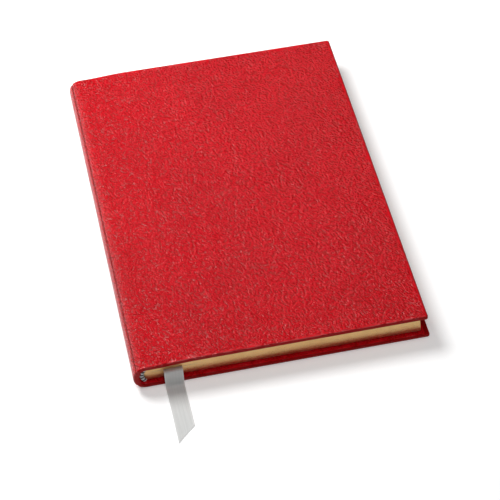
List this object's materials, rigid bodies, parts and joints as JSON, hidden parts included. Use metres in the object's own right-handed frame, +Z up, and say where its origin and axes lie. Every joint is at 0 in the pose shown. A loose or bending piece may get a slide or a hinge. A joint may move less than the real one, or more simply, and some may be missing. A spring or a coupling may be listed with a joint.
{
  "type": "leather notebook",
  "caption": "Hardcover notebook bound in red pebble-grain leather, with gilt page edges and a ribbon marker, that opens flat in the middle.",
  "frame": {"origin": "centre of the back cover's outer face, midway between the crown of the spine and the fore-edge", "axes": "+X from the spine to the fore-edge, +Y from the tail to the head, +Z up from the back cover to the front cover"},
  "size_m": [0.156, 0.255, 0.0175],
  "materials": {
    "leather": "pebble-grained, semi-gloss red",
    "board": "grey bookbinder's board",
    "card": "plain brown card",
    "endpaper": "smooth cream paper",
    "leaves": "cream leaves, gilt on all three edges",
    "linen": "open plain weave, sized",
    "thread": "waxed linen thread",
    "end_band": "silver and black striped silk",
    "ribbon": "silver grey satin"
  },
  "bodies": {
    "back_cover": {"back_leather": "leather", "back_leather_joint": "leather", "back_board": "board", "back_infill": "card", "back_pastedown": "endpaper", "back_flyleaf": "endpaper"},
    "spine": {"spine_leather": "leather", "spine_inlay": "card", "spine_paper": "card", "spine_gauze": "linen", "sewn_folds": "leaves", "sewing_tapes": "linen", "sewing_thread": "thread", "headband": "end_band", "tailband": "end_band", "ribbon_anchor": "ribbon"},
    "front_cover": {"front_leather": "leather", "front_leather_joint": "leather", "front_board": "board", "front_infill": "card", "front_pastedown": "endpaper", "front_flyleaf": "endpaper"},
    "section_01": {"section_01": "leaves"},
    "section_02": {"section_02": "leaves"},
    "section_03": {"section_03": "leaves"},
    "section_04": {"section_04": "leaves"},
    "section_05": {"section_05": "leaves"},
    "section_06": {"section_06": "leaves", "ribbon": "ribbon"},
    "section_07": {"section_07": "leaves"},
    "section_08": {"section_08": "leaves"},
    "section_09": {"section_09": "leaves"},
    "section_10": {"section_10": "leaves"},
    "section_11": {"section_11": "leaves"},
    "section_12": {"section_12": "leaves"},
    "ribbon_tail": {"ribbon_tail": "ribbon"}
  },
  "joints": [
    {"name": "spine_turn", "type": "hinge", "parent": "back_cover", "child": "spine", "pos_m": [-0.0756, 0, 0.0024], "axis": [0, -1, 0], "range_deg": [0, 90], "deforming": ["back_leather_joint"]},
    {"name": "front_cover_turn", "type": "hinge", "parent": "spine", "child": "front_cover", "pos_m": [-0.0756, 0, 0.0151], "axis": [0, -1, 0], "range_deg": [0, 90], "deforming": ["front_leather_joint"]},
    {"name": "section_01_turn", "type": "hinge", "parent": "spine", "child": "section_01", "pos_m": [-0.07469, 0, 0.00331], "axis": [0, 1, 0], "range_deg": [0, 90]},
    {"name": "section_02_turn", "type": "hinge", "parent": "spine", "child": "section_02", "pos_m": [-0.07373, 0, 0.00427], "axis": [0, 1, 0], "range_deg": [0, 90]},
    {"name": "section_03_turn", "type": "hinge", "parent": "spine", "child": "section_03", "pos_m": [-0.07277, 0, 0.00523], "axis": [0, 1, 0], "range_deg": [0, 90]},
    {"name": "section_04_turn", "type": "hinge", "parent": "spine", "child": "section_04", "pos_m": [-0.07181, 0, 0.00619], "axis": [0, 1, 0], "range_deg": [0, 90]},
    {"name": "section_05_turn", "type": "hinge", "parent": "spine", "child": "section_05", "pos_m": [-0.07085, 0, 0.00715], "axis": [0, 1, 0], "range_deg": [0, 90]},
    {"name": "section_06_turn", "type": "hinge", "parent": "spine", "child": "section_06", "pos_m": [-0.06989, 0, 0.00811], "axis": [0, 1, 0], "range_deg": [0, 90]},
    {"name": "section_07_turn", "type": "hinge", "parent": "spine", "child": "section_07", "pos_m": [-0.06989, 0, 0.00939], "axis": [0, -1, 0], "range_deg": [0, 90]},
    {"name": "section_08_turn", "type": "hinge", "parent": "spine", "child": "section_08", "pos_m": [-0.07085, 0, 0.01035], "axis": [0, -1, 0], "range_deg": [0, 90]},
    {"name": "section_09_turn", "type": "hinge", "parent": "spine", "child": "section_09", "pos_m": [-0.07181, 0, 0.01131], "axis": [0, -1, 0], "range_deg": [0, 90]},
    {"name": "section_10_turn", "type": "hinge", "parent": "spine", "child": "section_10", "pos_m": [-0.07277, 0, 0.01227], "axis": [0, -1, 0], "range_deg": [0, 90]},
    {"name": "section_11_turn", "type": "hinge", "parent": "spine", "child": "section_11", "pos_m": [-0.07373, 0, 0.01323], "axis": [0, -1, 0], "range_deg": [0, 90]},
    {"name": "section_12_turn", "type": "hinge", "parent": "spine", "child": "section_12", "pos_m": [-0.07469, 0, 0.01419], "axis": [0, -1, 0], "range_deg": [0, 90]},
    {"name": "ribbon_tail_lift", "type": "hinge", "parent": "section_06", "child": "ribbon_tail", "pos_m": [-0.0582, -0.1053, 0.00872], "axis": [-1, 0, 0], "range_deg": [0, 60]}
  ],
  "couplings": [
    {"joint": "front_cover_turn", "follows": "spine_turn", "ratio": 1},
    {"joint": "section_01_turn", "follows": "spine_turn", "ratio": 1},
    {"joint": "section_02_turn", "follows": "spine_turn", "ratio": 1},
    {"joint": "section_03_turn", "follows": "spine_turn", "ratio": 1},
    {"joint": "section_04_turn", "follows": "spine_turn", "ratio": 1},
    {"joint": "section_05_turn", "follows": "spine_turn", "ratio": 1},
    {"joint": "section_06_turn", "follows": "spine_turn", "ratio": 1},
    {"joint": "section_07_turn", "follows": "spine_turn", "ratio": 1},
    {"joint": "section_08_turn", "follows": "spine_turn", "ratio": 1},
    {"joint": "section_09_turn", "follows": "spine_turn", "ratio": 1},
    {"joint": "section_10_turn", "follows": "spine_turn", "ratio": 1},
    {"joint": "section_11_turn", "follows": "spine_turn", "ratio": 1},
    {"joint": "section_12_turn", "follows": "spine_turn", "ratio": 1}
  ]
}
